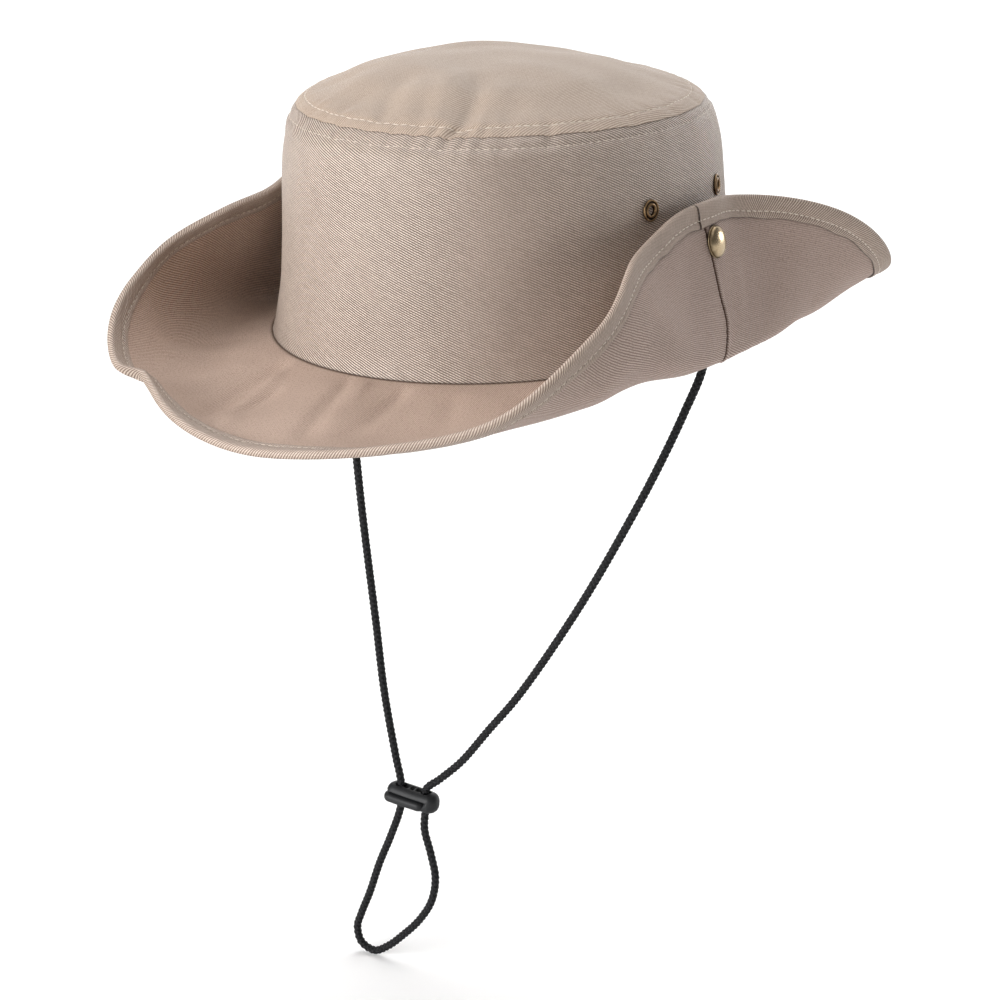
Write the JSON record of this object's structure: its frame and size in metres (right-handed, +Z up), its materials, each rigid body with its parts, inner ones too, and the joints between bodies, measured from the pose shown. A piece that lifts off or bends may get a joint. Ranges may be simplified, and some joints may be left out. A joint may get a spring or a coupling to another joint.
{
  "type": "safari hat with chin cord",
  "caption": "Soft twill safari hat with a round crown, a wide brim turned up and snapped at both sides, vent eyelets and a hanging chin cord with a cord lock.",
  "frame": {"origin": "middle of the head opening, level with the seam between the crown and the brim, where a head holds the hat", "axes": "+Z up along the crown, +Y towards the back of the hat, so its front is towards -Y and the wearer's left towards +X"},
  "size_m": [0.2346, 0.3516, 0.4039],
  "materials": {
    "crown_twill": "matt cotton twill",
    "brim_twill": "matt cotton twill",
    "bias_tape": "matt cotton twill cut on the bias",
    "cap_brass": "antique brass, polished on the dome",
    "dark_brass": "dark antique brass",
    "braided_cord": "black braided polyester",
    "lock_plastic": "fine matt moulding"
  },
  "bodies": {
    "root": {"tip": "crown_twill", "side_band": "crown_twill", "brim": "brim_twill", "brim_binding": "bias_tape", "snap_cap_left": "cap_brass", "snap_cap_right": "cap_brass", "snap_stud_left": "dark_brass", "snap_stud_right": "dark_brass", "eyelet_left_front": "dark_brass", "eyelet_left_back": "dark_brass", "eyelet_right_front": "dark_brass", "eyelet_right_back": "dark_brass", "chin_cord": "braided_cord", "cord_lock": "lock_plastic"}
  },
  "joints": []
}
